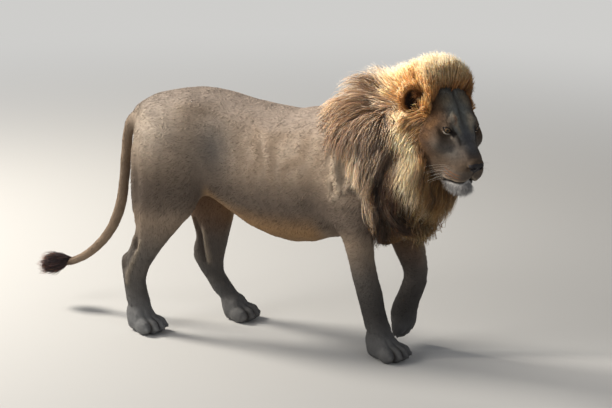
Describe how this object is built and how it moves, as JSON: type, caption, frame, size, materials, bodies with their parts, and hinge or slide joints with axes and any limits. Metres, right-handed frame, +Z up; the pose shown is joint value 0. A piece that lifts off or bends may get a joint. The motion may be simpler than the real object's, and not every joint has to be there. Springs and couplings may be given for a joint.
{
  "type": "lion",
  "caption": "Life-size still model of a standing maned male lion in mid-stride, one fore paw lifted and the head turned to its right.",
  "frame": {"origin": "on the floor under the middle of the lion's bounding box", "axes": "+X is the way the body faces, from tail to head; +Y is the lion's left; +Z is up"},
  "size_m": [2.2132, 0.5212, 1.343],
  "materials": {
    "coat": "short tawny fur lying flat, paler along the back and warmer on the belly",
    "paw_coat": "short pale grey-buff fur on the paws",
    "mane": "long dense hair, golden at the crown, brown on the neck and nearly black at the chest",
    "tail_tuft": "dark brown tuft of long hair",
    "nose_leather": "fine-grained moist black nose leather",
    "eye": "glossy amber eye with a round dark pupil",
    "horn": "smooth dark horn of the claws"
  },
  "bodies": {
    "root": {"trunk": "coat", "neck_mane": "mane", "head": "coat", "nose": "nose_leather", "right_ear": "coat", "right_eye": "eye", "left_ear": "coat", "left_eye": "eye", "right_thigh": "coat", "right_shank": "coat", "right_hind_paw": "paw_coat", "right_hind_claw_1": "horn", "right_hind_claw_2": "horn", "right_hind_claw_3": "horn", "right_hind_claw_4": "horn", "left_thigh": "coat", "left_shank": "coat", "left_hind_paw": "paw_coat", "left_hind_claw_1": "horn", "left_hind_claw_2": "horn", "left_hind_claw_3": "horn", "left_hind_claw_4": "horn", "right_upper_arm": "coat", "right_forearm": "coat", "right_fore_paw": "paw_coat", "right_fore_claw_1": "horn", "right_fore_claw_2": "horn", "right_fore_claw_3": "horn", "right_fore_claw_4": "horn", "left_upper_arm": "coat", "left_forearm": "coat", "left_fore_paw": "paw_coat", "left_fore_claw_1": "horn", "left_fore_claw_2": "horn", "left_fore_claw_3": "horn", "left_fore_claw_4": "horn", "tail_upper": "coat", "tail_lower": "coat", "tail_tuft": "tail_tuft"}
  },
  "joints": []
}
